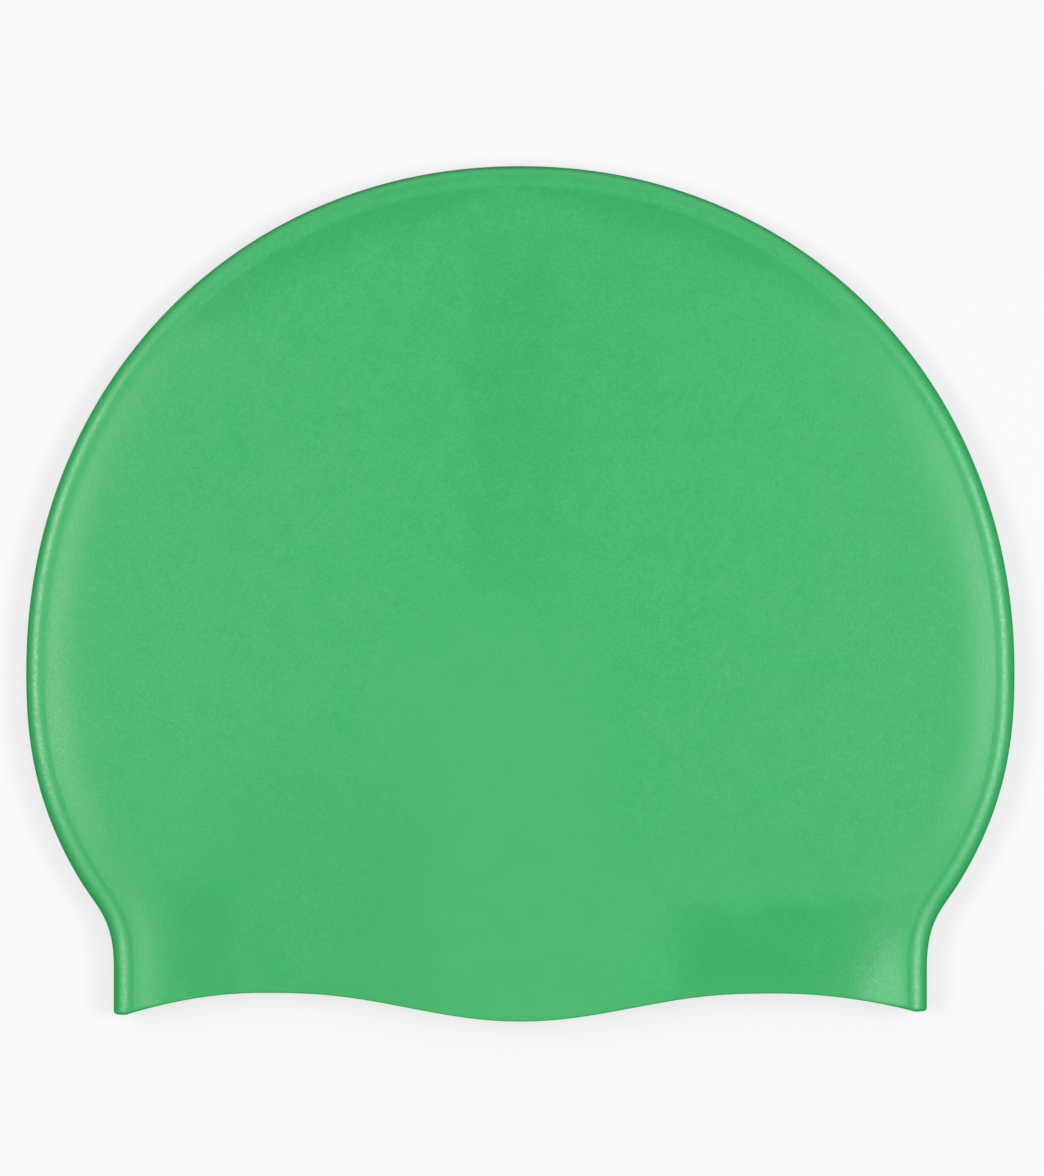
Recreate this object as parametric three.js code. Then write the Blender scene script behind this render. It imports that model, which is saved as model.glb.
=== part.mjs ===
// A moulded silicone swim cap, lying flat on its back wall.
// Millimetres, +Z up, +X across the cap, +Y from the hem towards the crown.
// The origin is on the surface that it lies on, under the middle of its width and length.

import * as THREE from 'three';
import { mergeVertices } from 'three/addons/utils/BufferGeometryUtils.js';

const { lerp, smoothstep, degToRad, clamp } = THREE.MathUtils;

// Outline of the flat cap, seen from above
const capWidth = 220;
const crownRise = 112.6;       // from the widest line up to the top of the crown
const skirtDrop = 77.4;        // from the widest line down to the lowest point of the hem
const crownFullness = 2.06;    // exponent of the crown's curve, where 2 is an ellipse
const neckWidth = 181;
const neckHeight = 11.5;       // straight stretch of the neck, above the lowest point of the hem

// Hem line: low in the middle, arched over each ear, low again at the corners
const earArchRise = 6.3;
const earArchOffset = 57;
const leftCornerRise = 1.25;
const rightCornerRise = 2.0;
const backHemReach = 0.8;      // how far the back wall's hem shows below the front one
const hemWaveHeight = 40;      // the rows above the hem are straight from here on

// Rim, the thick round fold that runs round the cap where the two walls meet
const rimThickness = 5.6;
const rimNose = 3.4;           // from the outline to where the round nose ends on top
const rimBand = 4.4;           // from the outline to the foot of the panel's shoulder
const rimLift = 1.2;           // the rim hangs this high above the surface

// Panels
const panelWall = 0.8;
const rimWall = 1.4;
const panelTop = 10.2;         // height of the front panel's middle above the surface
const shoulderSlope = 0.175;   // how steeply the front panel climbs just inside the rim
const shoulderReach = 7.5;     // how far in that slope dies away
const footInset = 14;          // the back panel lies flat from here on
const mouthSag = 1.3;          // how much lower the front panel is at the hem
const mouthSagLength = 75;
const squareInset = 12;        // so far in, the rows of the surface run square to the outline

const silicone = new THREE.MeshStandardMaterial({
  name: 'silicone',
  color: new THREE.Color(0.07, 0.47, 0.16),
  roughness: 0.45,
  metalness: 0,
});

// The flank's two curves meet at a bend. Heights and handles are shares of the flank's height,
// the bend's width is a share of how much wider the cap is than its neck.
const flankCurve = {
  bendHeight: 0.297,
  bendWidth: 0.386,
  bendSlope: 2.05,
  shoulderHandle: 0.197,
  upperHandle: 0.319,
  lowerHandle: 0.115,
  neckHandle: 0.168,
};

// The rim and the shoulder from the hem round to the crown's top. Thick is a share of rimThickness
// and reach is a share of shoulderReach.
const rimAround = [
  { way: 0.0, leftThick: 1.0, rightThick: 1.1, leftReach: 0.87, rightReach: 1.13 },
  { way: 0.25, leftThick: 1.0, rightThick: 1.13, leftReach: 0.8, rightReach: 0.73 },
  { way: 0.42, leftThick: 1.0, rightThick: 1.18, leftReach: 1.0, rightReach: 0.87 },
  { way: 0.6, leftThick: 1.0, rightThick: 1.14, leftReach: 0.87, rightReach: 1.07 },
  { way: 0.85, leftThick: 1.0, rightThick: 1.03, leftReach: 1.13, rightReach: 1.07 },
  { way: 1.0, leftThick: 1.0, rightThick: 1.0, leftReach: 0.67, rightReach: 0.67 },
];

// Valleys over the ears, where the front panel dips before it rises again to the hem. Across and
// spread are shares of half the neck's width, climb and above are shares of the skirt's drop, and
// depth is a share of how far the panel rises above the rim.
const earValleys = [
  { across: 0.57, spread: 0.42, climb: 0.28, above: 0.2, depth: 0.38 },
  { across: -0.66, spread: 0.3, climb: 0.36, above: 0.22, depth: 0.26 },
];

// How finely the surfaces are divided
const neckSteps = 3;
const flankSteps = 5;
const shoulderSteps = 7;
const crownSteps = 18;
const noseSteps = 5;
const panelSteps = 11;
const panelCrowding = 1.9;     // above 1 the rows crowd towards the rim

// How the curves bend, as plain exponents and shares
const hemSwing = 3.1;          // how sharply the hem leaves its low middle
const backHemSpread = 0.32;    // how far across the back hem shows, in shares of half the neck
const valleySoftness = 0.22;   // how roundly a valley turns at its bottom
const valleyRamp = 1.2;        // how evenly a valley deepens from both sides
const rimHold = 4;             // how closely to the rim a valley may come
const straightShare = 0.7;     // from this share of the width on, rows run straight to the middle
const weldDistance = 1e-4;     // corners nearer than this are one corner

// Lengths that follow from the sizes above
const halfWidth = capWidth / 2;
const halfNeck = neckWidth / 2;
const capLength = crownRise + skirtDrop;
const hemY = -capLength / 2;
const widestY = hemY + skirtDrop;
const neckTopY = hemY + neckHeight;
const rimHalf = rimThickness / 2;
const rimHeight = rimLift + rimHalf;
const panelRise = panelTop - rimHeight - rimHalf;

// The height of the hem line above its lowest point
function hemRise(x) {
  const away = Math.abs(x);
  if (away < earArchOffset) {
    const share = away / earArchOffset;
    return earArchRise * (1 - (1 - share * share) ** hemSwing);
  }
  const levelFrom = halfNeck - rimHalf;
  const cornerRise = x < 0 ? leftCornerRise : rightCornerRise;
  const share = (Math.min(away, levelFrom) - earArchOffset) / (levelFrom - earArchOffset);
  return lerp(earArchRise, cornerRise, share * share);
}

// How far the hem line strays from a straight line between its middle and its corner
function hemWave(x) {
  const cornerRise = hemRise(Math.sign(x) * halfNeck);
  return hemRise(x) - cornerRise * Math.min(Math.abs(x) / halfNeck, 1);
}

// How far the back wall's hem reaches below the front one, over the right ear only
function backReach(x) {
  const share = (x / halfNeck - earValleys[0].across) / backHemSpread;
  return Math.abs(share) < 1 ? backHemReach * (1 - share * share) ** 2 : 0;
}

// The flank's curves, on the right side
function flankCurves() {
  const height = widestY - neckTopY;
  const swell = halfWidth - halfNeck;
  const bend = new THREE.Vector2(
    halfNeck + flankCurve.bendWidth * swell,
    neckTopY + flankCurve.bendHeight * height,
  );
  const along = new THREE.Vector2(flankCurve.bendSlope * swell, height).normalize();
  const neckTop = new THREE.Vector2(halfNeck, neckTopY);
  const widest = new THREE.Vector2(halfWidth, widestY);
  const up = new THREE.Vector2(0, 1);
  const lower = new THREE.CubicBezierCurve(
    neckTop,
    neckTop.clone().addScaledVector(up, flankCurve.neckHandle * height),
    bend.clone().addScaledVector(along, -flankCurve.lowerHandle * height),
    bend,
  );
  const upper = new THREE.CubicBezierCurve(
    bend,
    bend.clone().addScaledVector(along, flankCurve.upperHandle * height),
    widest.clone().addScaledVector(up, -flankCurve.shoulderHandle * height),
    widest,
  );
  return { lower, upper };
}

// The crown's outline, at an angle from +X round its own centre
function crownPoint(angle) {
  const across = Math.abs(Math.cos(angle)) / halfWidth;
  const along = Math.abs(Math.sin(angle)) / crownRise;
  const radius = (across ** crownFullness + along ** crownFullness) ** (-1 / crownFullness);
  return new THREE.Vector2(radius * Math.cos(angle), widestY + radius * Math.sin(angle));
}

// The direction square to a curve, on its left as it runs
function squareTo(tangent) {
  return new THREE.Vector2(-tangent.y, tangent.x).normalize();
}

// A column of the rim's table, read smoothly along the outline
function rimShare(way, column) {
  const next = clamp(rimAround.findIndex((row) => row.way >= way), 1, rimAround.length - 1);
  const [before, after] = [rimAround[next - 1], rimAround[next]];
  return lerp(before[column], after[column], smoothstep(way, before.way, after.way));
}

// A station is one place on the outline, with the point of the middle line that its section
// runs to. Side is 1 on the right and -1 on the left.
function makeStation(side, rim, inward, middleY, way) {
  const cornerY = hemY + hemRise(side * halfNeck);
  const middle = new THREE.Vector2(0, middleY);
  const hand = side < 0 ? 'left' : 'right';
  return {
    rim: new THREE.Vector2(side * rim.x, rim.y),
    inward: new THREE.Vector2(side * inward.x, inward.y),
    middle,
    hemShare: clamp(1 - (rim.y - cornerY) / hemWaveHeight, 0, 1) ** 2,
    width: middle.distanceTo(rim),
    half: rimHalf * rimShare(way, `${hand}Thick`),
    reach: shoulderReach * rimShare(way, `${hand}Reach`),
  };
}

// The stations of one side, from the hem corner up to the top of the crown
function sideStations(side) {
  const stations = [];
  const { lower, upper } = flankCurves();
  const crownWay = skirtDrop / capLength;
  const cornerY = hemY + hemRise(side * halfNeck);
  const add = (rim, inward, middleY, way) => {
    stations.push(makeStation(side, rim, inward, middleY, way));
  };
  const wayUp = (y) => crownWay * (y - hemY) / skirtDrop;
  for (let step = 0; step < neckSteps; step += 1) {
    const share = step / neckSteps;
    const rim = new THREE.Vector2(halfNeck, lerp(cornerY, neckTopY, share));
    const middle = new THREE.Vector2(0, lerp(hemY, neckTopY, share));
    add(rim, middle.clone().sub(rim).normalize(), middle.y, wayUp(middle.y));
  }
  for (const [curve, steps] of [[lower, flankSteps], [upper, shoulderSteps]]) {
    for (let step = 0; step < steps; step += 1) {
      const rim = curve.getPoint(step / steps);
      add(rim, squareTo(curve.getTangent(step / steps)), rim.y, wayUp(rim.y));
    }
  }
  for (let step = 0; step <= crownSteps; step += 1) {
    const share = step / crownSteps;
    const angle = share * Math.PI / 2;
    const nudge = degToRad(0.5);
    const tangent = crownPoint(angle + nudge).sub(crownPoint(angle - nudge));
    add(crownPoint(angle), squareTo(tangent), widestY, lerp(crownWay, 1, share));
  }
  return stations;
}

// The point a given way in from the outline, seen from above
function placeAt(station, inset, isBack) {
  const square = station.rim.clone().addScaledVector(station.inward, inset);
  const straight = station.rim.clone().lerp(station.middle, inset / station.width);
  const turn = smoothstep(inset, squareInset, straightShare * station.width);
  const place = square.lerp(straight, turn);
  const reach = isBack ? backReach(place.x) : 0;
  place.y += station.hemShare * (hemWave(place.x) - reach);
  return place;
}

// The lesser of two shares, with the corner between them rounded
function softLeast(first, second) {
  const share = clamp(0.5 + 0.5 * (second - first) / valleySoftness, 0, 1);
  return lerp(second, first, share) - valleySoftness * share * (1 - share);
}

// How far the front panel dips over the ears
function earDip(place) {
  const aboveHem = (place.y - hemY - hemRise(place.x)) / skirtDrop;
  let dip = 0;
  for (const row of earValleys) {
    const sideways = (place.x / halfNeck - row.across) / row.spread;
    const across = clamp(1 - sideways ** 2, 0, 1) ** 2;
    const rising = aboveHem / row.climb;
    const falling = 1 - (aboveHem - row.climb) / row.above;
    const along = clamp(softLeast(rising, falling), 0, 1) ** valleyRamp;
    dip += row.depth * panelRise * across * along;
  }
  return dip;
}

// The front climbs from the rim's top over the shoulder, and on as a low dome to the middle
function frontHeight(station, inset) {
  const place = placeAt(station, inset, false);
  const run = inset - rimBand;
  const wholeRun = station.width - rimBand;
  const toRim = 1 - run / wholeRun;
  const climbed = (length) => shoulderSlope * station.reach * Math.tanh(length / station.reach);
  const crest = rimHeight + station.half;
  const restOfClimb = panelTop - crest - climbed(wholeRun);
  const dome = restOfClimb * (1 - toRim ** 2) ** 2;
  const mouth = mouthSag * (1 - smoothstep(place.y, hemY, hemY + mouthSagLength));
  const loose = 1 - toRim ** rimHold;
  return crest + climbed(run) + dome - (mouth + earDip(place)) * loose;
}

function backHeight(station, inset) {
  const share = clamp((footInset - inset) / (footInset - rimBand), 0, 1);
  return (rimHeight - station.half) * share * share;
}

// The outside of a station's section, from the middle over the front, round the rim's nose
// and back to the middle along the back. Each point has its inset, height and wall.
function outerSection(station) {
  const front = [];
  const back = [];
  const quarter = Math.PI / 2;
  for (let step = 1; step <= noseSteps; step += 1) {
    const angle = quarter * step / noseSteps;
    const inset = rimNose * (1 - Math.cos(angle));
    const lift = station.half * Math.sin(angle);
    front.push({ inset, height: rimHeight + lift, wall: rimWall });
    back.push({ inset, height: rimHeight - lift, wall: rimWall });
  }
  for (let step = 0; step <= panelSteps; step += 1) {
    const inset = rimBand + (station.width - rimBand) * (step / panelSteps) ** panelCrowding;
    const wall = step === 0 ? (rimWall + panelWall) / 2 : panelWall;
    front.push({ inset, height: frontHeight(station, inset), wall });
    back.push({ inset, height: backHeight(station, inset), wall });
  }
  const nose = { inset: 0, height: rimHeight, wall: rimWall };
  return [...front.reverse(), nose, ...back];
}

// The inside of the same section, one wall in from the outside
function innerSection(outer) {
  const last = outer.length - 1;
  return outer.map((point, index) => {
    if (index === 0 || index === last) {
      const inwards = index === 0 ? -1 : 1;
      return { inset: point.inset, height: point.height + inwards * point.wall };
    }
    const before = outer[index - 1];
    const after = outer[index + 1];
    const run = after.inset - before.inset;
    const climb = after.height - before.height;
    const length = Math.hypot(run, climb);
    return {
      inset: point.inset - point.wall * climb / length,
      height: point.height + point.wall * run / length,
    };
  });
}

function placeSection(station, section) {
  const nose = (section.length - 1) / 2;
  return section.map((point, index) => {
    const place = placeAt(station, point.inset, index > nose);
    return new THREE.Vector3(place.x, place.y, point.height);
  });
}

// One skin of the hollow cap: the outside, the inside, and the lip that joins them at the hem
function buildCap() {
  const right = sideStations(1);
  const left = sideStations(-1).reverse();
  const stations = [...right, ...left.slice(1)];
  const outer = stations.map((station) => placeSection(station, outerSection(station)));
  const inner = stations.map((station) => placeSection(station, innerSection(outerSection(station))));
  const corners = [];
  const quad = (a, b, c, d) => {
    corners.push(a, b, c, a, c, d);
  };
  const rows = outer[0].length - 1;
  const lastStation = stations.length - 1;
  for (let row = 0; row < rows; row += 1) {
    for (let at = 0; at < lastStation; at += 1) {
      quad(outer[at][row], outer[at][row + 1], outer[at + 1][row + 1], outer[at + 1][row]);
      quad(inner[at][row], inner[at + 1][row], inner[at + 1][row + 1], inner[at][row + 1]);
    }
    quad(outer[0][row], inner[0][row], inner[0][row + 1], outer[0][row + 1]);
    const [outerEnd, innerEnd] = [outer[lastStation], inner[lastStation]];
    quad(outerEnd[row], outerEnd[row + 1], innerEnd[row + 1], innerEnd[row]);
  }
  return weld(corners);
}

// Joins shared corners and drops the triangles that shrink to a line at the crown's centre
function weld(corners) {
  const loose = new THREE.BufferGeometry().setFromPoints(corners);
  const geometry = mergeVertices(loose, weldDistance);
  const index = Array.from(geometry.getIndex().array);
  const kept = [];
  for (let at = 0; at < index.length; at += 3) {
    const [a, b, c] = index.slice(at, at + 3);
    if (a !== b && b !== c && c !== a) kept.push(a, b, c);
  }
  geometry.setIndex(kept);
  geometry.computeVertexNormals();
  return geometry;
}

const cap = new THREE.Mesh(buildCap(), silicone);
cap.name = 'moulded_cap';

const swimCap = new THREE.Group();
swimCap.add(cap);

export default swimCap;
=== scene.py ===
# A moulded silicone swim cap, lying flat on a pale studio floor.
# The drawing's sizes are in millimetres, and the meshes are made in metres.

import math
from types import SimpleNamespace

import bmesh
import bpy
import numpy as np
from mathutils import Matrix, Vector


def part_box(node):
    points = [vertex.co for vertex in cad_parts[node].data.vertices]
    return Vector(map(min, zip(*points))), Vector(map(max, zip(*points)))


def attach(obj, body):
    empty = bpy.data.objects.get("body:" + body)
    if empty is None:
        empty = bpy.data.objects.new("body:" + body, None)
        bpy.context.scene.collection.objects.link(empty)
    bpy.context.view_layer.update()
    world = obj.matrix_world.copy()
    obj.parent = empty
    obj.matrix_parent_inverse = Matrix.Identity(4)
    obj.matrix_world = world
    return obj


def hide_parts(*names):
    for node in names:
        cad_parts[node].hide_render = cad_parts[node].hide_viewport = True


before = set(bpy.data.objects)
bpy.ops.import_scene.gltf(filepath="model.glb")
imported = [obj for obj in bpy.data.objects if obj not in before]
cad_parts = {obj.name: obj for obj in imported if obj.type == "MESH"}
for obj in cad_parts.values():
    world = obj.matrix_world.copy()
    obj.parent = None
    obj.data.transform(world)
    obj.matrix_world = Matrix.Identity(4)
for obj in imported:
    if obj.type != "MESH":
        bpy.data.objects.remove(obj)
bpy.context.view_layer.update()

MM = 0.001
EPSILON = 1e-6

# Outline of the flat cap, whose width and length come from the frame
cap_low, cap_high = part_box("moulded_cap")
CAP_WIDTH = (cap_high[0] - cap_low[0]) / MM
CAP_LENGTH = (cap_high[1] - cap_low[1]) / MM
SKIRT_DROP = 77.4          # from the widest line down to the lowest point of the hem
CROWN_RISE = CAP_LENGTH - SKIRT_DROP
CROWN_FULLNESS = 2.06      # exponent of the crown's curve, where 2 is an ellipse
NECK_WIDTH = 181.0
NECK_HEIGHT = 11.5         # straight stretch of the neck

# The flank's two curves meet at a bend, given in shares of its height and of the swell
BEND_HEIGHT = 0.297
BEND_WIDTH = 0.386
BEND_SLOPE = 2.05
SHOULDER_HANDLE = 0.197
UPPER_HANDLE = 0.319
LOWER_HANDLE = 0.115
NECK_HANDLE = 0.168

# Hem line: low in the middle, arched over each ear, low again at the corners
EAR_ARCH_RISE = 6.3
EAR_ARCH_OFFSET = 57.0
LEFT_CORNER_RISE = 1.25
RIGHT_CORNER_RISE = 2.0
BACK_HEM_REACH = 0.8
BACK_HEM_SPREAD = 0.32
HEM_WAVE_HEIGHT = 40.0
HEM_SWING = 3.1

# Rim, the thick round fold where the two walls meet
RIM_THICKNESS = 5.6
RIM_BAND = 4.4             # from the outline to the foot of the shoulder
RIM_LIFT = 1.2
VALLEY_INSET = 3.7         # at least, of the shallow valley between the rim and the shoulder
VALLEY_REACH = 1.1
CREASE_REACH = 0.9

# Panels
PANEL_WALL = 0.8
RIM_WALL = 1.4
PANEL_TOP = 10.2           # height of the front wall's middle above the floor
FOOT_INSET = 14.0
RIM_HOLD = 4.0
SQUARE_INSET = 12.0
STRAIGHT_SHARE = 0.7
MOUTH_SAG = 1.3
MOUTH_SAG_LENGTH = 75.0

# Along the outline, from the hem to the top of the crown, for the left and then the right side:
# the rim's half thickness there as a share of the whole rim's, how far in its round nose goes,
# how steep the shoulder is and how far in it reaches. Then how softly the shoulder sets off,
# the depth of the valley between the two, and how dark a painted shade in its crease is
RIM_AROUND = (
    dict(way=0.0, half=(1.12, 1.18), nose=(4.25, 4.2), slope=(0.24, 0.285), reach=(6.5, 14.0),
         ease=0.9, valley=0.04, painted_crease_shade=1.0),
    dict(way=0.17, half=(1.07, 1.14), nose=(4.3, 4.3), slope=(0.25, 0.125), reach=(6.5, 9.0),
         ease=1.2, valley=0.04, painted_crease_shade=1.0),
    dict(way=0.3, half=(1.05, 1.10), nose=(4.1, 4.0), slope=(0.205, 0.18), reach=(7.0, 5.5),
         ease=0.6, valley=0.05, painted_crease_shade=0.45),
    dict(way=0.42, half=(1.0, 1.16), nose=(3.75, 4.0), slope=(0.17, 0.18), reach=(7.0, 6.0),
         ease=0.4, valley=0.05, painted_crease_shade=0.0),
    dict(way=0.6, half=(1.0, 1.14), nose=(3.7, 3.9), slope=(0.155, 0.175), reach=(6.5, 8.0),
         ease=0.4, valley=0.04, painted_crease_shade=0.0),
    dict(way=0.85, half=(1.0, 1.03), nose=(3.6, 3.8), slope=(0.175, 0.175), reach=(8.5, 8.0),
         ease=0.4, valley=0.06, painted_crease_shade=0.0),
    dict(way=1.0, half=(1.0, 1.0), nose=(3.6, 3.6), slope=(0.175, 0.175), reach=(5.0, 5.0),
         ease=0.4, valley=0.02, painted_crease_shade=0.0),
)

# Valleys over the ears, where the front wall dips before it rises again to the hem:
# the middle and the spread in shares of half the neck, the climb in shares of the skirt
EAR_VALLEYS = (
    dict(across=0.57, spread=0.42, climb=0.28, above=0.20, depth=1.3),
    dict(across=-0.66, spread=0.30, climb=0.36, above=0.22, depth=0.9),
)
EAR_VALLEY_SOFTNESS = 0.22 # how roundly a valley turns at its bottom
EAR_VALLEY_RAMP = 1.2      # how evenly it deepens from both sides

# Painted shade: a deeper green, with a smoother and calmer skin, over the dim places of the front.
# Under the crown's rim: the middle and the spread along the outline, and how far in
SHADE_MASK_NAME = "wall_rest"
SHADE_FOOT = 5.4
CROWN_SHADES = (
    dict(side=-1, way=0.82, spread=0.17, reach=17.0),
    dict(side=1, way=0.85, spread=0.16, reach=16.0),
)
# Painted shade over the front, each patch between two heights on the sheet and two sides, which
# fade over the lengths given and wander a little: the right ear and the fold beside it, the left
# ear, the skirt between them, and the middle of the crown
PANEL_SHADES = (
    dict(x=(27.0, 75.0), fade=(14.0, 3.5), y=(-110.0, -62.0), ends=(1.0, 4.0), sag=5.5, depth=0.8),
    dict(x=(64.0, 75.0), fade=(5.0, 3.5), y=(-110.0, -64.0), ends=(1.0, 8.0), sag=0.0, depth=0.6),
    dict(x=(-84.0, -62.5), fade=(11.0, 3.0), y=(-110.0, -60.0), ends=(1.0, 9.0), sag=0.0, depth=0.8),
    dict(x=(-75.0, -12.0), fade=(16.0, 12.0), y=(-110.0, -22.0), ends=(1.0, 40.0), sag=0.0, depth=0.42),
    dict(x=(-12.5, 14.0), fade=(2.5, 12.0), y=(-9.0, 84.0), ends=(16.0, 22.0), sag=0.0, depth=0.32),
    dict(x=(-12.5, 50.0), fade=(2.5, 46.0), y=(0.0, 90.0), ends=(45.0, 12.0), sag=0.0, depth=0.14),
)
# The painted shade over the right ear leans over along the flank
EAR_SHADE_LEAN = dict(share=0.6, from_x=50.0, to_x=65.0, from_y=-92.0, height=30.67)
# The edges of the painted shade sway by two waves
SHADE_WAVE_LENGTH = 6.0
SHADE_WAVES = (
    dict(depth=0.9, pace=1.0, shift=0.0),
    dict(depth=0.54, pace=2.3, shift=1.0),
)

# Low in the middle the skin is more even than elsewhere, and on the right it is coarser
EVEN_NAME = "skin_evenness"
EVEN_PATCHES = (
    dict(x=(-40.0, 30.0), fade=(26.0, 22.0), y=(-110.0, 12.0), ends=(1.0, 46.0), depth=0.6),
    dict(x=(12.0, 104.0), fade=(22.0, 20.0), y=(-68.0, 34.0), ends=(16.0, 60.0), depth=-0.75),
)

# The low fold along the top of the right ear's rest
EAR_FOLD = dict(x=48.0, half=17.0, y=-63.5, sag=4.5, width=2.2, height=0.11)

# How finely the surfaces are divided
NECK_STEPS = 16
FLANK_STEPS = 16
SHOULDER_STEPS = 28
CROWN_STEPS = 72
NOSE_STEPS = 14
CREST_STEPS = 2
FRONT_STEPS = 54
BACK_STEPS = 26
LIP_STEPS = 7
ROW_CROWDING = 2.0         # above 1 the rows crowd towards the rim
WELD_DISTANCE = 0.002      # points nearer than this are one point

HALF_WIDTH = CAP_WIDTH / 2
HALF_NECK = NECK_WIDTH / 2
HEM_Y = -CAP_LENGTH / 2
WIDEST_Y = HEM_Y + SKIRT_DROP
NECK_TOP_Y = HEM_Y + NECK_HEIGHT
RIM_HALF = RIM_THICKNESS / 2
RIM_HEIGHT = RIM_LIFT + RIM_HALF


def smoothstep(value, low, high):
    share = np.clip((value - low) / (high - low), 0.0, 1.0)
    return share * share * (3 - 2 * share)


def mix(first, second, share):
    return first * (1 - share) + second * share


def hem_rise(x):
    """The height of the hem line above its lowest point."""
    away = np.abs(x)
    inner = np.clip(away / EAR_ARCH_OFFSET, 0, 1)
    arch = EAR_ARCH_RISE * (1 - (1 - inner ** 2) ** HEM_SWING)
    level_from = HALF_NECK - RIM_HALF
    outer = np.clip((away - EAR_ARCH_OFFSET) / (level_from - EAR_ARCH_OFFSET), 0, 1)
    corner = np.where(x < 0, LEFT_CORNER_RISE, RIGHT_CORNER_RISE)
    return np.where(away < EAR_ARCH_OFFSET, arch, mix(EAR_ARCH_RISE, corner, outer ** 2))


def hem_wave(x):
    """How far the hem line strays from a straight line between its middle and its corner."""
    corner = np.where(x < 0, LEFT_CORNER_RISE, RIGHT_CORNER_RISE)
    return hem_rise(x) - corner * np.minimum(np.abs(x) / HALF_NECK, 1)


def hem_slope(x):
    step = 0.5
    return (hem_rise(x + step) - hem_rise(x - step)) / (2 * step)


def back_reach(x):
    """How far the back wall's hem shows below the front one, over the right ear only."""
    share = np.clip(np.abs((x / HALF_NECK - EAR_VALLEYS[0]["across"]) / BACK_HEM_SPREAD), 0, 1)
    return BACK_HEM_REACH * (1 - share ** 2) ** 2


def bezier(corners, share):
    a, b, c, d = (np.array(corner, float) for corner in corners)
    t = np.asarray(share, float)[:, None]
    spot = (1 - t) ** 3 * a + 3 * (1 - t) ** 2 * t * b + 3 * (1 - t) * t ** 2 * c + t ** 3 * d
    run = (1 - t) ** 2 * (b - a) + 2 * (1 - t) * t * (c - b) + t ** 2 * (d - c)
    return spot, run


def square_to(run):
    """Unit vectors square to a run, on its left."""
    left = np.stack([-run[:, 1], run[:, 0]], axis=1)
    return left / np.linalg.norm(left, axis=1, keepdims=True)


def flank_curves():
    height = WIDEST_Y - NECK_TOP_Y
    swell = HALF_WIDTH - HALF_NECK
    bend = np.array([HALF_NECK + BEND_WIDTH * swell, NECK_TOP_Y + BEND_HEIGHT * height])
    along = np.array([BEND_SLOPE * swell, height])
    along = along / np.linalg.norm(along)
    lower = (
        (HALF_NECK, NECK_TOP_Y),
        (HALF_NECK, NECK_TOP_Y + NECK_HANDLE * height),
        bend - along * LOWER_HANDLE * height,
        bend,
    )
    upper = (
        bend,
        bend + along * UPPER_HANDLE * height,
        (HALF_WIDTH, WIDEST_Y - SHOULDER_HANDLE * height),
        (HALF_WIDTH, WIDEST_Y),
    )
    return lower, upper


def crown_point(angle):
    across = np.abs(np.cos(angle)) / HALF_WIDTH
    along = np.abs(np.sin(angle)) / CROWN_RISE
    radius = (across ** CROWN_FULLNESS + along ** CROWN_FULLNESS) ** (-1 / CROWN_FULLNESS)
    return np.stack([radius * np.cos(angle), WIDEST_Y + radius * np.sin(angle)], axis=1)


def around(way, column, hand=None):
    """A column of the rim's table, read smoothly along the outline."""
    ways = [row["way"] for row in RIM_AROUND]
    given = [row[column] if hand is None else row[column][hand] for row in RIM_AROUND]
    value = np.full_like(way, given[0])
    for at in range(len(ways) - 1):
        share = smoothstep(way, ways[at], ways[at + 1])
        value = np.where(way >= ways[at], mix(given[at], given[at + 1], share), value)
    return value


def side_stations(side):
    """The places on one side's outline, from the hem corner up to the top of the crown."""
    corner_y = HEM_Y + (LEFT_CORNER_RISE if side < 0 else RIGHT_CORNER_RISE)
    crown_way = SKIRT_DROP / CAP_LENGTH
    share = np.arange(NECK_STEPS) / NECK_STEPS
    neck = np.stack([np.full(NECK_STEPS, HALF_NECK), mix(corner_y, NECK_TOP_Y, share)], axis=1)
    neck_middle = mix(HEM_Y, NECK_TOP_Y, share)
    neck_in = np.stack([np.zeros(NECK_STEPS), neck_middle], axis=1) - neck
    neck_in = neck_in / np.linalg.norm(neck_in, axis=1, keepdims=True)
    lower, upper = flank_curves()
    flank, flank_run = bezier(lower, np.arange(FLANK_STEPS) / FLANK_STEPS)
    shoulder, shoulder_run = bezier(upper, np.arange(SHOULDER_STEPS) / SHOULDER_STEPS)
    turned = np.arange(CROWN_STEPS + 1) / CROWN_STEPS
    angle = turned * math.pi / 2
    nudge = math.radians(0.5)
    crown_run = crown_point(angle + nudge) - crown_point(angle - nudge)
    rim = np.concatenate([neck, flank, shoulder, crown_point(angle)])
    inward = np.concatenate(
        [neck_in, square_to(flank_run), square_to(shoulder_run), square_to(crown_run)]
    )
    leg_y = np.concatenate([neck_middle, flank[:, 1], shoulder[:, 1]])
    middle_y = np.concatenate([leg_y, np.full(CROWN_STEPS + 1, WIDEST_Y)])
    middle = np.stack([np.zeros_like(middle_y), middle_y], axis=1)
    way = np.concatenate([crown_way * (leg_y - HEM_Y) / SKIRT_DROP, mix(crown_way, 1, turned)])
    climb = rim[:, 1] - corner_y
    hand = 0 if side < 0 else 1
    nose = around(way, "nose", hand)
    return SimpleNamespace(
        rim=rim * [side, 1],
        inward=inward * [side, 1],
        middle=middle,
        way=way,
        climb=climb,
        hem_share=np.clip(1 - climb / HEM_WAVE_HEIGHT, 0, 1) ** 2,
        width=np.linalg.norm(middle - rim, axis=1),
        half=RIM_HALF * around(way, "half", hand),
        nose=nose,
        slope=around(way, "slope", hand),
        reach=around(way, "reach", hand),
        ease=around(way, "ease"),
        valley=around(way, "valley"),
        valley_inset=np.maximum(nose, VALLEY_INSET),
        painted_crease_shade=around(way, "painted_crease_shade"),
    )


def all_stations():
    """Right hem corner, over the crown, to the left hem corner."""
    right, left = side_stations(1), side_stations(-1)
    joined = {
        name: np.concatenate([value, getattr(left, name)[::-1][1:]])
        for name, value in vars(right).items()
    }
    return SimpleNamespace(**joined)


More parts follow.
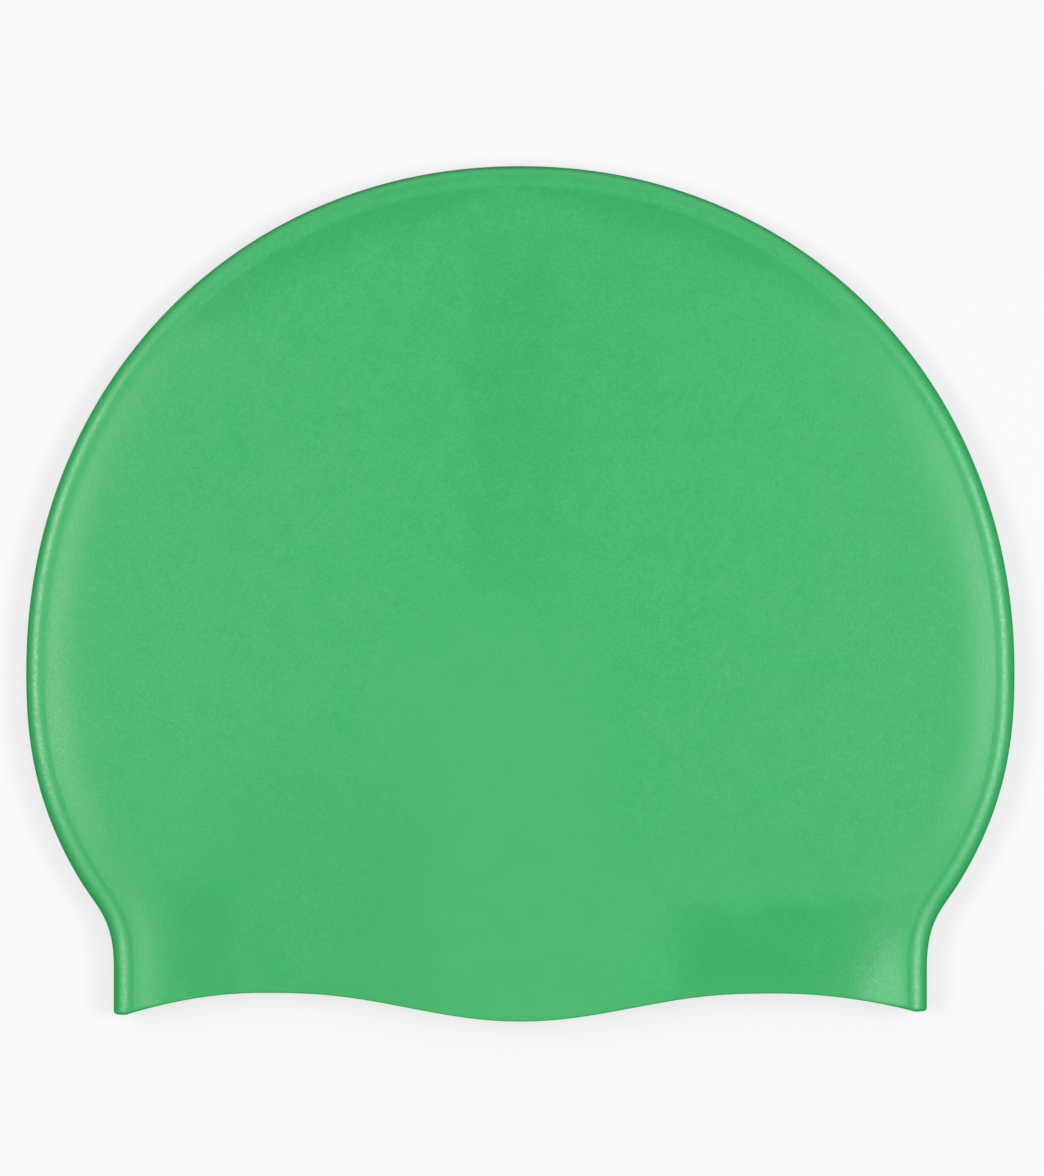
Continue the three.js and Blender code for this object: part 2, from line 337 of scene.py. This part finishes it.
def place(stations, inset, is_back):
    """The points a given way in from the outline, seen from above."""
    share = (inset / stations.width[:, None])[..., None]
    square = stations.rim[:, None, :] + stations.inward[:, None, :] * inset[..., None]
    straight = mix(stations.rim[:, None, :], stations.middle[:, None, :], share)
    turn = smoothstep(inset, SQUARE_INSET, STRAIGHT_SHARE * stations.width[:, None])
    spot = mix(square, straight, turn[..., None])
    reach = back_reach(spot[..., 0]) if is_back else 0.0
    spot[..., 1] += stations.hem_share[:, None] * (hem_wave(spot[..., 0]) - reach)
    return spot


def soft_least(first, second, softness):
    share = np.clip(0.5 + 0.5 * (second - first) / softness, 0, 1)
    return mix(second, first, share) - softness * share * (1 - share)


def ear_dip(spot):
    dip = np.zeros(spot.shape[:-1])
    above_hem = (spot[..., 1] - HEM_Y - hem_rise(spot[..., 0])) / SKIRT_DROP
    for row in EAR_VALLEYS:
        sideways = (spot[..., 0] / HALF_NECK - row["across"]) / row["spread"]
        across = np.clip(1 - sideways ** 2, 0, 1) ** 2
        rising = above_hem / row["climb"]
        falling = 1 - (above_hem - row["climb"]) / row["above"]
        along = np.clip(soft_least(rising, falling, EAR_VALLEY_SOFTNESS), 0, 1)
        dip += row["depth"] * across * along ** EAR_VALLEY_RAMP
    return dip


def panel_insets(stations, steps):
    share = (np.arange(1, steps + 1) / steps) ** ROW_CROWDING
    return RIM_BAND + (stations.width[:, None] - RIM_BAND) * share[None, :]


def shoulder_climb(stations, run):
    """A slope that eases in at the foot of the shoulder and dies away towards the middle."""
    ease, reach = stations.ease[:, None], stations.reach[:, None]
    eased = run - ease * (1 - np.exp(-run / ease))
    return stations.slope[:, None] * reach * np.tanh(eased / reach)


def in_valley(stations, inset, reach):
    share = np.clip(np.abs(inset - stations.valley_inset[:, None]) / reach, 0, 1)
    return (1 - share ** 2) ** 2


def valley_dip(stations, inset):
    return stations.valley[:, None] * in_valley(stations, inset, VALLEY_REACH)


def front_heights(stations, inset):
    spot = place(stations, inset, False)
    run = inset - RIM_BAND
    whole = stations.width[:, None] - RIM_BAND
    to_rim = 1 - run / whole
    crest = RIM_HEIGHT + stations.half[:, None]
    shoulder = shoulder_climb(stations, run)
    rest_of_climb = PANEL_TOP - crest - shoulder_climb(stations, whole)
    dome = rest_of_climb * (1 - to_rim ** 2) ** 2
    mouth = MOUTH_SAG * (1 - smoothstep(spot[..., 1], HEM_Y, HEM_Y + MOUTH_SAG_LENGTH))
    loose = 1 - to_rim ** RIM_HOLD
    valley = valley_dip(stations, inset)
    raised = crest - valley + shoulder + dome + ear_fold(spot)
    return raised - (mouth + ear_dip(spot)) * loose


def back_heights(stations, inset):
    share = np.clip((FOOT_INSET - inset) / (FOOT_INSET - RIM_BAND), 0, 1)
    return (RIM_HEIGHT - stations.half[:, None]) * share ** 2


def soft_band(value, low, high, fades):
    rising = smoothstep(value, low, low + fades[0])
    return rising * (1 - smoothstep(value, high - fades[1], high))


def soft_patch(row, x, y):
    return row["depth"] * soft_band(x, *row["x"], row["fade"]) * soft_band(y, *row["y"], row["ends"])


def wander(along):
    """A small even sway, which keeps an edge from being ruled straight."""
    phase = along / SHADE_WAVE_LENGTH
    return sum(row["depth"] * np.sin(row["pace"] * phase + row["shift"]) for row in SHADE_WAVES)


def sagging(x, middle, half, sag):
    return sag * np.clip(1 - ((x - middle) / half) ** 2, 0, 1)


def painted_shade_share(stations, inset):
    """How strongly shade is painted on the front, and its skin smoothed, from none to all."""
    spot = place(stations, inset, False)
    x = spot[..., 0] + wander(spot[..., 1])
    y = spot[..., 1] + wander(spot[..., 0])
    lean = EAR_SHADE_LEAN["share"] * smoothstep(x, EAR_SHADE_LEAN["from_x"], EAR_SHADE_LEAN["to_x"])
    x = x - lean * np.clip(y - EAR_SHADE_LEAN["from_y"], 0, EAR_SHADE_LEAN["height"])
    shaded = np.zeros(inset.shape)
    for row in CROWN_SHADES:
        near = np.clip(1 - ((stations.way - row["way"]) / row["spread"]) ** 2, 0, 1)
        near = np.where(stations.rim[:, 0] * row["side"] > 0, near, 0)[:, None]
        reach = RIM_BAND + (row["reach"] - RIM_BAND) * near + EPSILON
        across = 1 - smoothstep(inset + wander(stations.way[:, None] * CAP_LENGTH), RIM_BAND, reach)
        shaded = np.maximum(shaded, np.sqrt(near) * across)
    for row in PANEL_SHADES:
        (left, right), top = row["x"], row["y"][1]
        drop = sagging(x, (left + right) / 2, (right - left) / 2, row["sag"])
        part = soft_patch(row, x, y + drop * (y > top - 2 * row["sag"]))
        shaded = 1 - (1 - shaded) * (1 - part)
    # Painted shade along the crease between the rim and the shoulder
    painted_crease_shade = stations.painted_crease_shade[:, None] * in_valley(stations, inset, CREASE_REACH)
    return np.maximum(shaded * smoothstep(inset, RIM_BAND, SHADE_FOOT), painted_crease_shade)


def ear_fold(spot):
    x, y = spot[..., 0], spot[..., 1]
    line = EAR_FOLD["y"] - sagging(x, EAR_FOLD["x"], EAR_FOLD["half"], EAR_FOLD["sag"])
    across = np.exp(-((y - line) / EAR_FOLD["width"]) ** 2)
    along = np.clip(1 - ((x - EAR_FOLD["x"]) / EAR_FOLD["half"]) ** 2, 0, 1) ** 2
    return EAR_FOLD["height"] * across * along


def outer_sections(stations):
    """Insets and heights of the outside, from the middle of the front round to the back's."""
    count = len(stations.width)
    nose_angle = np.arange(1, NOSE_STEPS + 1) / NOSE_STEPS * math.pi / 2
    crest_share = np.arange(1, CREST_STEPS + 1) / CREST_STEPS
    nose = stations.nose[:, None]
    nose_inset = nose * (1 - np.cos(nose_angle))
    rim_inset = np.concatenate([nose_inset, mix(nose, RIM_BAND, crest_share)], axis=1)
    rim_share = np.concatenate([np.sin(nose_angle), np.ones(CREST_STEPS)])
    rim_lift = stations.half[:, None] * rim_share
    front_inset = panel_insets(stations, FRONT_STEPS)
    back_inset = panel_insets(stations, BACK_STEPS)
    rim_front = RIM_HEIGHT + rim_lift - valley_dip(stations, rim_inset)
    front = np.concatenate([rim_inset, front_inset], axis=1)
    back = np.concatenate([rim_inset, back_inset], axis=1)
    front_z = np.concatenate([rim_front, front_heights(stations, front_inset)], axis=1)
    back_z = np.concatenate(
        [RIM_HEIGHT - rim_lift, back_heights(stations, back_inset)], axis=1
    )
    edge = np.zeros((count, 1))
    inset = np.concatenate([front[:, ::-1], edge, back], axis=1)
    height = np.concatenate([front_z[:, ::-1], edge + RIM_HEIGHT, back_z], axis=1)
    return inset, height, front.shape[1]


def wall_at(inset):
    return mix(RIM_WALL, PANEL_WALL, smoothstep(inset, RIM_BAND, 2 * RIM_BAND))


def inner_sections(inset, height):
    """The same sections, one wall in from the outside."""
    wall = wall_at(inset)
    run = np.gradient(inset, axis=1)
    climb = np.gradient(height, axis=1)
    run[:, 0], climb[:, 0] = -1.0, 0.0
    run[:, -1], climb[:, -1] = 1.0, 0.0
    length = np.hypot(run, climb)
    return inset - wall * climb / length, height + wall * run / length


def place_sections(stations, inset, height, nose_row):
    front = place(stations, inset[:, :nose_row + 1], False)
    back = place(stations, inset[:, nose_row + 1:], True)
    spot = np.concatenate([front, back], axis=1)
    return np.concatenate([spot, height[..., None]], axis=2)


def hem_outward(points):
    """The direction square to the hem line, pointing out of the mouth."""
    slope = hem_slope(points[..., 0])
    length = np.hypot(slope, 1)
    return np.stack([slope / length, -1 / length, np.zeros_like(slope)], axis=-1)


def pull_back_from_hem(stations, points, wall):
    """Makes room for the lip's rounding, so that the lip ends on the hem line."""
    fade = np.clip(1 - stations.climb / NECK_HEIGHT, 0, 1) ** 2
    depth = wall / 2 * fade[:, None]
    return points - hem_outward(points) * depth[..., None]


def lip_rings(outer_edge, inner_edge, wall):
    """Half round rings that close the wall at the hem, from the outside to the inside."""
    middle = (outer_edge + inner_edge) / 2
    half = (outer_edge - inner_edge) / 2
    outward = hem_outward(middle) * (wall / 2)[:, None]
    rings = [outer_edge]
    for step in range(1, LIP_STEPS):
        angle = math.pi * step / LIP_STEPS
        rings.append(middle + half * math.cos(angle) + outward * math.sin(angle))
    rings.append(inner_edge)
    return rings


def grid_faces(first, second):
    """Quads between two rows of vertex numbers."""
    return np.stack([first[:-1], first[1:], second[1:], second[:-1]], axis=1)


def cap_mesh():
    stations = all_stations()
    inset, height, nose_row = outer_sections(stations)
    inner_inset, inner_height = inner_sections(inset, height)
    wall = wall_at(inset)
    outer = place_sections(stations, inset, height, nose_row)
    inner = place_sections(stations, inner_inset, inner_height, nose_row)
    outer = pull_back_from_hem(stations, outer, wall)
    inner = pull_back_from_hem(stations, inner, wall)
    rows = outer.shape[1]
    count = outer.shape[0]
    sheets = [outer.reshape(-1, 3), inner.reshape(-1, 3)]
    outer_index = np.arange(count * rows).reshape(count, rows)
    inner_index = outer_index + count * rows
    outside = [grid_faces(outer_index[at], outer_index[at + 1]) for at in range(count - 1)]
    inside = [grid_faces(inner_index[at + 1], inner_index[at]) for at in range(count - 1)]
    for end, flip in ((0, False), (-1, True)):
        rings = lip_rings(outer[end], inner[end], wall[end])
        index = [outer_index[end]]
        for ring in rings[1:-1]:
            start = sum(len(sheet) for sheet in sheets)
            sheets.append(ring)
            index.append(np.arange(start, start + rows))
        index.append(inner_index[end])
        for first, second in zip(index, index[1:]):
            outside.append(grid_faces(first, second) if flip else grid_faces(second, first))
    points = np.concatenate(sheets)
    front = inset[:, :nose_row]
    spot = place(stations, front, False)
    # Per point on the front: where shade is painted, and how even the skin is
    shares = {
        SHADE_MASK_NAME: painted_shade_share(stations, front),
        EVEN_NAME: sum(soft_patch(row, spot[..., 0], spot[..., 1]) for row in EVEN_PATCHES),
    }
    for name, front_share in shares.items():
        share = np.zeros(len(points))
        share[:count * rows].reshape(count, rows)[:, :nose_row] = front_share
        shares[name] = share
    return points * MM, np.concatenate(outside), np.concatenate(inside), shares


def weld(mesh):
    """Joins the two sides along the middle and at the crown's centre."""
    shape = bmesh.new()
    shape.from_mesh(mesh)
    bmesh.ops.remove_doubles(shape, verts=shape.verts, dist=WELD_DISTANCE * MM)
    shape.to_mesh(mesh)
    shape.free()


def put_in_scene(name, data):
    thing = bpy.data.objects.new(name, data)
    bpy.context.scene.collection.objects.link(thing)
    return thing


def build_cap(outside_finish, inside_finish):
    points, outside, inside, shares = cap_mesh()
    mesh = bpy.data.meshes.new("silicone_cap")
    mesh.from_pydata(points.tolist(), [], np.concatenate([outside, inside]).tolist())
    mesh.materials.append(outside_finish)
    mesh.materials.append(inside_finish)
    slots = np.concatenate([np.zeros(len(outside), int), np.ones(len(inside), int)])
    mesh.polygons.foreach_set("material_index", slots)
    mesh.polygons.foreach_set("use_smooth", np.ones(len(slots), bool))
    for name, share in shares.items():
        mesh.attributes.new(name, "FLOAT", "POINT").data.foreach_set("value", share)
    weld(mesh)
    return put_in_scene("silicone_cap", mesh)


# Finishes

SILICONE_GREEN = (0.0282, 0.474, 0.127, 1.0)
PAINTED_SHADE_TONE = 0.07           # how much deeper the green is made in the painted shade
SHADE_SHEEN = 0.122         # and how much smoother
SHADE_CALM = 0.2            # and how much fainter its grain
SMOOTHEST = 0.278          # roughness, which no pore goes below
EVEN_BLOOM = 0.10          # how much duller the skin is where it is even
GRAIN = dict(Scale=1400.0, Detail=4.0, Roughness=0.74)
GRAIN_SHARE = 3.0          # of the fine grain, beside the clouds
GRAIN_FLOOR = -0.45        # below which the grain is cut off, as no pore is darker
CLOUDS = dict(Scale=150.0, Detail=5.0, Roughness=0.68, Distortion=0.5)
SPECK_CELLS = 82.0         # along a metre, of which few hold a speck
SPECK_RADIUS = 0.028       # as a share of a cell
SPECK_RARITY = 0.96        # share of the cells that hold none
STREAKS = dict(Scale=330.0, Detail=3.0, Roughness=0.6, Distortion=0.3)
FLOW_SHARE = 0.28          # of the faint streaks that the silicone left on the left half
FLOW_ANGLE = 52.0
FLOW_STRETCH = 5.0
FLOW_EDGE = -20.0          # left of which the streaks are at their fullest
FLOW_FADE = 40.0


def add_node(tree, kind, **settings):
    node = tree.nodes.new(kind)
    for name, value in settings.items():
        setattr(node, name, value)
    return node


def set_inputs(node, **values):
    for name, value in values.items():
        node.inputs[name.replace("_", " ")].default_value = value


def feed(tree, node, *sources):
    """Fills a node's sockets in turn, from other sockets or with plain numbers."""
    for socket, source in zip(node.inputs, sources):
        if isinstance(source, bpy.types.NodeSocket):
            tree.links.new(source, socket)
        else:
            socket.default_value = source
    return node.outputs[0]


def combine(tree, operation, *sources):
    return feed(tree, add_node(tree, "ShaderNodeMath", operation=operation), *sources)


def ramp(tree, source, low, high, start, end):
    """A soft climb from the start to the end, while the source goes from low to high."""
    node = add_node(tree, "ShaderNodeMapRange", interpolation_type="SMOOTHSTEP")
    set_inputs(node, From_Min=low, From_Max=high, To_Min=start, To_Max=end)
    tree.links.new(source, node.inputs["Value"])
    return node.outputs[0]


def group_inputs(group, *rows):
    for name, kind in rows:
        group.interface.new_socket(name=name, in_out="INPUT", socket_type=kind)
    return add_node(group, "NodeGroupInput").outputs


def group_outputs(group, *rows):
    for name, kind in rows:
        group.interface.new_socket(name=name, in_out="OUTPUT", socket_type=kind)
    return add_node(group, "NodeGroupOutput").inputs


def satin_skin_group():
    """Fine grain, faint clouds and streaks, a few stray specks of pigment, far apart, and the painted
    shade.
    """
    group = bpy.data.node_groups.new("satin_skin", "ShaderNodeTree")
    given = group_inputs(
        group,
        ("Rest", "NodeSocketFloat"),
        ("Evenness", "NodeSocketFloat"),
        ("Colour", "NodeSocketColor"),
        ("Colour Swing", "NodeSocketFloat"),
        ("Speck Depth", "NodeSocketFloat"),
        ("Roughness", "NodeSocketFloat"),
        ("Roughness Swing", "NodeSocketFloat"),
        ("Grain Depth", "NodeSocketFloat"),
        ("Cloud Depth", "NodeSocketFloat"),
    )
    made = group_outputs(
        group,
        ("Base Color", "NodeSocketColor"),
        ("Roughness", "NodeSocketFloat"),
        ("Height", "NodeSocketFloat"),
    )
    link = group.links.new
    on_cap = add_node(group, "ShaderNodeTexCoord").outputs["Object"]
    grain = add_node(group, "ShaderNodeTexNoise")
    set_inputs(grain, **GRAIN)
    clouds = add_node(group, "ShaderNodeTexNoise")
    set_inputs(clouds, **CLOUDS)
    cells = add_node(group, "ShaderNodeTexVoronoi")
    set_inputs(cells, Scale=SPECK_CELLS)
    for texture in (grain, clouds, cells):
        link(on_cap, texture.inputs["Vector"])
    turned = add_node(group, "ShaderNodeMapping", vector_type="TEXTURE")
    flow_turn = (0.0, 0.0, math.radians(FLOW_ANGLE))
    set_inputs(turned, Rotation=flow_turn, Scale=(FLOW_STRETCH, 1.0, 1.0))
    link(on_cap, turned.inputs["Vector"])
    streaks = add_node(group, "ShaderNodeTexNoise")
    set_inputs(streaks, **STREAKS)
    link(turned.outputs[0], streaks.inputs["Vector"])
    parts = add_node(group, "ShaderNodeSeparateXYZ")
    link(on_cap, parts.inputs[0])
    flow_start = (FLOW_EDGE + FLOW_FADE) * MM
    flow_side = ramp(group, parts.outputs["X"], flow_start, FLOW_EDGE * MM, 0.0, 1.0)
    flow = combine(group, "SUBTRACT", streaks.outputs[0], 0.5)
    flow = combine(group, "MULTIPLY", flow, flow_side)
    flow = combine(group, "MULTIPLY", flow, FLOW_SHARE)
    uneven = combine(group, "SUBTRACT", 1.0, given["Evenness"])
    mottle = combine(group, "MULTIPLY_ADD", grain.outputs[0], GRAIN_SHARE, clouds.outputs[0])
    mottle = combine(group, "SUBTRACT", mottle, (GRAIN_SHARE + 1) / 2)
    mottle = combine(group, "MAXIMUM", mottle, GRAIN_FLOOR)
    mottle = combine(group, "MULTIPLY", combine(group, "ADD", mottle, flow), uneven)
    calm = combine(group, "MULTIPLY_ADD", given["Rest"], -SHADE_CALM, 1.0)
    mottle = combine(group, "MULTIPLY", mottle, calm)
    roughness = combine(group, "MULTIPLY_ADD", mottle, given["Roughness Swing"], given["Roughness"])
    roughness = combine(group, "MULTIPLY_ADD", given["Rest"], -SHADE_SHEEN, roughness)
    roughness = combine(group, "MULTIPLY_ADD", given["Evenness"], EVEN_BLOOM, roughness)
    roughness = combine(group, "MAXIMUM", roughness, SMOOTHEST)
    near = combine(group, "LESS_THAN", cells.outputs["Distance"], SPECK_RADIUS)
    cell_colour = add_node(group, "ShaderNodeSeparateColor")
    link(cells.outputs["Color"], cell_colour.inputs[0])
    chosen = combine(group, "GREATER_THAN", cell_colour.outputs[0], SPECK_RARITY)
    speck = combine(group, "MULTIPLY", near, chosen)
    darker = combine(group, "MULTIPLY", speck, given["Speck Depth"])
    shade = combine(group, "MULTIPLY_ADD", mottle, given["Colour Swing"], 1.0)
    # Painted shade: the green deepens where the shade mask is
    shade = combine(group, "MULTIPLY_ADD", given["Rest"], -PAINTED_SHADE_TONE, shade)
    shade = combine(group, "SUBTRACT", shade, darker)
    tinted = add_node(group, "ShaderNodeVectorMath", operation="SCALE")
    link(given["Colour"], tinted.inputs[0])
    link(shade, tinted.inputs["Scale"])
    fine = combine(group, "MULTIPLY", grain.outputs[0], given["Grain Depth"])
    height = combine(group, "MULTIPLY_ADD", clouds.outputs[0], given["Cloud Depth"], fine)
    height = combine(group, "MULTIPLY_ADD", flow, given["Cloud Depth"], height)
    height = combine(group, "MULTIPLY", height, uneven)
    link(tinted.outputs[0], made["Base Color"])
    link(roughness, made["Roughness"])
    link(height, made["Height"])
    return group


def empty_material(name):
    material = bpy.data.materials.new(name)
    material.use_nodes = True
    tree = material.node_tree
    tree.nodes.clear()
    out = add_node(tree, "ShaderNodeOutputMaterial")
    shader = add_node(tree, "ShaderNodeBsdfPrincipled")
    tree.links.new(shader.outputs["BSDF"], out.inputs["Surface"])
    return material, tree, shader


def silicone(name, skin_group, gloss, **skin_values):
    """Depths are in millimetres, as the bump's distance is one millimetre."""
    material, tree, shader = empty_material(name)
    skin = add_node(tree, "ShaderNodeGroup", node_tree=skin_group)
    set_inputs(skin, Colour=SILICONE_GREEN, **skin_values)
    bump = add_node(tree, "ShaderNodeBump")
    set_inputs(bump, Strength=1.0, Distance=MM)
    link = tree.links.new
    for attribute_name, socket in ((SHADE_MASK_NAME, "Rest"), (EVEN_NAME, "Evenness")):
        share = add_node(tree, "ShaderNodeAttribute", attribute_name=attribute_name)
        link(share.outputs["Fac"], skin.inputs[socket])
    link(skin.outputs["Base Color"], shader.inputs["Base Color"])
    link(skin.outputs["Roughness"], shader.inputs["Roughness"])
    link(skin.outputs["Height"], bump.inputs["Height"])
    link(bump.outputs["Normal"], shader.inputs["Normal"])
    shader.inputs["Specular IOR Level"].default_value = gloss
    return material


# Studio

PHOTO_WIDTH_PX = 1044
PHOTO_HEIGHT_PX = 1176
CAP_WIDTH_PX = 988.2
CAP_MIDDLE_PX = (520.35, 592.9)
LENS_MM = 135.0
SENSOR_MM = 36.0
PALE = 0.96                # of the floor and the backdrop, as the camera sees them
FLOOR_BOUNCE = 0.03        # of the floor, as the cap sees it
FLOOR_GLOW = 0.68          # share of its paleness that is lit from below, which thins the shadow
FLOOR_REACH = 4.0

SOFTBOX_DISTANCE = 1.4
SOFTBOX_WIDTH = 0.82
SOFTBOX_HEIGHT = 0.52
SOFTBOX_WATTS = 8.7
# Azimuths are turned from the cap's right towards its crown. The fill freshens the green and
# leaves no gleam
LIGHTS = (
    dict(name="right_softbox", azimuth=0.0, elevation=45.5, tint=(0.98, 1.0, 1.06),
         power=1.0, gleams=True),
    dict(name="left_softbox", azimuth=175.0, elevation=45.0, tint=(1.0, 0.99, 0.95),
         power=1.0, gleams=True),
    dict(name="right_fill", azimuth=-5.0, elevation=7.0, tint=(1.0, 1.0, 1.0),
         power=0.28, gleams=False),
)
CEILING_GLOW = 0.81
DARK_LEAN = 28.0           # of the dim part of the ceiling, from overhead towards the crown
DARK_SPREAD = 60.0
DARK_GLOW = 0.105
FLAG_EDGE = 0.50           # where the dark cloths beside the cap begin to dim the glow
FLAG_DEPTH = 0.95
WINDOW_EDGE = 0.30         # where the bright wall beyond the crown begins
WINDOW_GAIN = 0.60
SHADE_EDGE = -0.20         # where the dim side before the hem begins
SHADE_DEPTH = 0.65


def add_camera():
    """Straight above, with the cap as large in the frame as it is in the photograph."""
    mm_per_px = CAP_WIDTH / CAP_WIDTH_PX
    data = bpy.data.cameras.new("camera")
    data.lens = LENS_MM
    data.sensor_width = SENSOR_MM
    data.sensor_fit = "AUTO"
    frame_height = PHOTO_HEIGHT_PX * mm_per_px * MM
    distance = frame_height * LENS_MM / SENSOR_MM
    camera = put_in_scene("camera", data)
    camera.location = (
        (PHOTO_WIDTH_PX / 2 - CAP_MIDDLE_PX[0]) * mm_per_px * MM,
        (CAP_MIDDLE_PX[1] - PHOTO_HEIGHT_PX / 2) * mm_per_px * MM,
        RIM_HEIGHT * MM + distance,
    )
    bpy.context.scene.camera = camera


def add_softbox(row):
    data = bpy.data.lights.new(row["name"], "AREA")
    data.shape = "RECTANGLE"
    data.size = SOFTBOX_WIDTH
    data.size_y = SOFTBOX_HEIGHT
    data.energy = SOFTBOX_WATTS * row["power"]
    data.color = row["tint"]
    light = put_in_scene(row["name"], data)
    light.visible_glossy = row["gleams"]
    light.visible_camera = False
    turn, lift = math.radians(row["azimuth"]), math.radians(row["elevation"])
    towards = Vector(
        (math.cos(lift) * math.cos(turn), math.cos(lift) * math.sin(turn), math.sin(lift))
    )
    light.location = towards * SOFTBOX_DISTANCE
    light.rotation_euler = towards.to_track_quat("Z", "Y").to_euler()


def add_room_light():
    """A soft ceiling that is dim overhead, dark cloths, a bright wall and a pale backdrop."""
    world = bpy.data.worlds.new("studio")
    world.use_nodes = True
    tree = world.node_tree
    tree.nodes.clear()
    link = tree.links.new
    out = add_node(tree, "ShaderNodeOutputWorld")
    glow = add_node(tree, "ShaderNodeBackground")
    facing = add_node(tree, "ShaderNodeVectorMath", operation="DOT_PRODUCT")
    direction = add_node(tree, "ShaderNodeTexCoord").outputs["Generated"]
    link(direction, facing.inputs[0])
    lean = math.radians(DARK_LEAN)
    facing.inputs[1].default_value = (0.0, math.sin(lean), math.cos(lean))
    away = combine(tree, "ARCCOSINE", facing.outputs["Value"])
    parts = add_node(tree, "ShaderNodeSeparateXYZ")
    link(direction, parts.inputs[0])
    sideways = combine(tree, "ABSOLUTE", parts.outputs["X"])
    towards_crown = parts.outputs["Y"]
    ambient = ramp(tree, away, 0.0, math.radians(DARK_SPREAD), DARK_GLOW, CEILING_GLOW)
    for source, edge, end, gain in (
        (sideways, FLAG_EDGE, 1.0, -FLAG_DEPTH),
        (towards_crown, WINDOW_EDGE, 1.0, WINDOW_GAIN),
        (towards_crown, SHADE_EDGE, -1.0, -SHADE_DEPTH),
    ):
        change = ramp(tree, source, edge, end, 1.0, 1 + gain)
        ambient = combine(tree, "MULTIPLY", ambient, change)
    shown = add_node(tree, "ShaderNodeMapRange")
    set_inputs(shown, To_Max=PALE)
    link(add_node(tree, "ShaderNodeLightPath").outputs["Is Camera Ray"], shown.inputs["Value"])
    link(ambient, shown.inputs["To Min"])
    link(shown.outputs[0], glow.inputs["Strength"])
    link(glow.outputs[0], out.inputs["Surface"])
    bpy.context.scene.world = world


def floor_finish():
    """Pale and partly lit from below for the camera, and dark for all other light."""
    material, tree, shader = empty_material("pale_floor")
    set_inputs(shader, Roughness=0.9, Specular_IOR_Level=0.1, Emission_Color=(1.0, 1.0, 1.0, 1.0))
    is_camera = add_node(tree, "ShaderNodeLightPath").outputs["Is Camera Ray"]
    shade = add_node(tree, "ShaderNodeMapRange")
    set_inputs(shade, To_Min=FLOOR_BOUNCE, To_Max=PALE * (1 - FLOOR_GLOW))
    lit = combine(tree, "MULTIPLY", is_camera, PALE * FLOOR_GLOW)
    link = tree.links.new
    link(is_camera, shade.inputs["Value"])
    link(shade.outputs[0], shader.inputs["Base Color"])
    link(lit, shader.inputs["Emission Strength"])
    return material


def add_floor():
    mesh = bpy.data.meshes.new("floor")
    reach = FLOOR_REACH
    corners = [(-reach, -reach, 0), (reach, -reach, 0), (reach, reach, 0), (-reach, reach, 0)]
    mesh.from_pydata(corners, [], [(0, 1, 2, 3)])
    mesh.materials.append(floor_finish())
    floor = put_in_scene("floor", mesh)


add_camera()
skin = satin_skin_group()
outside_finish = silicone(
    "green_silicone",
    skin,
    gloss=1.0,
    Colour_Swing=0.03,
    Speck_Depth=0.7,
    Roughness=0.40,
    Roughness_Swing=0.26,
    Grain_Depth=0.046,
    Cloud_Depth=0.014,
)
inside_finish = silicone(
    "powdered_inside",
    skin,
    gloss=0.6,
    Colour_Swing=0.06,
    Speck_Depth=0.0,
    Roughness=0.58,
    Roughness_Swing=0.10,
    Grain_Depth=0.006,
    Cloud_Depth=0.010,
)
cap = build_cap(outside_finish, inside_finish)
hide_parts("moulded_cap")
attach(cap, "root")
for row in LIGHTS:
    add_softbox(row)
add_room_light()
add_floor()
bpy.context.scene.view_settings.view_transform = "Standard"
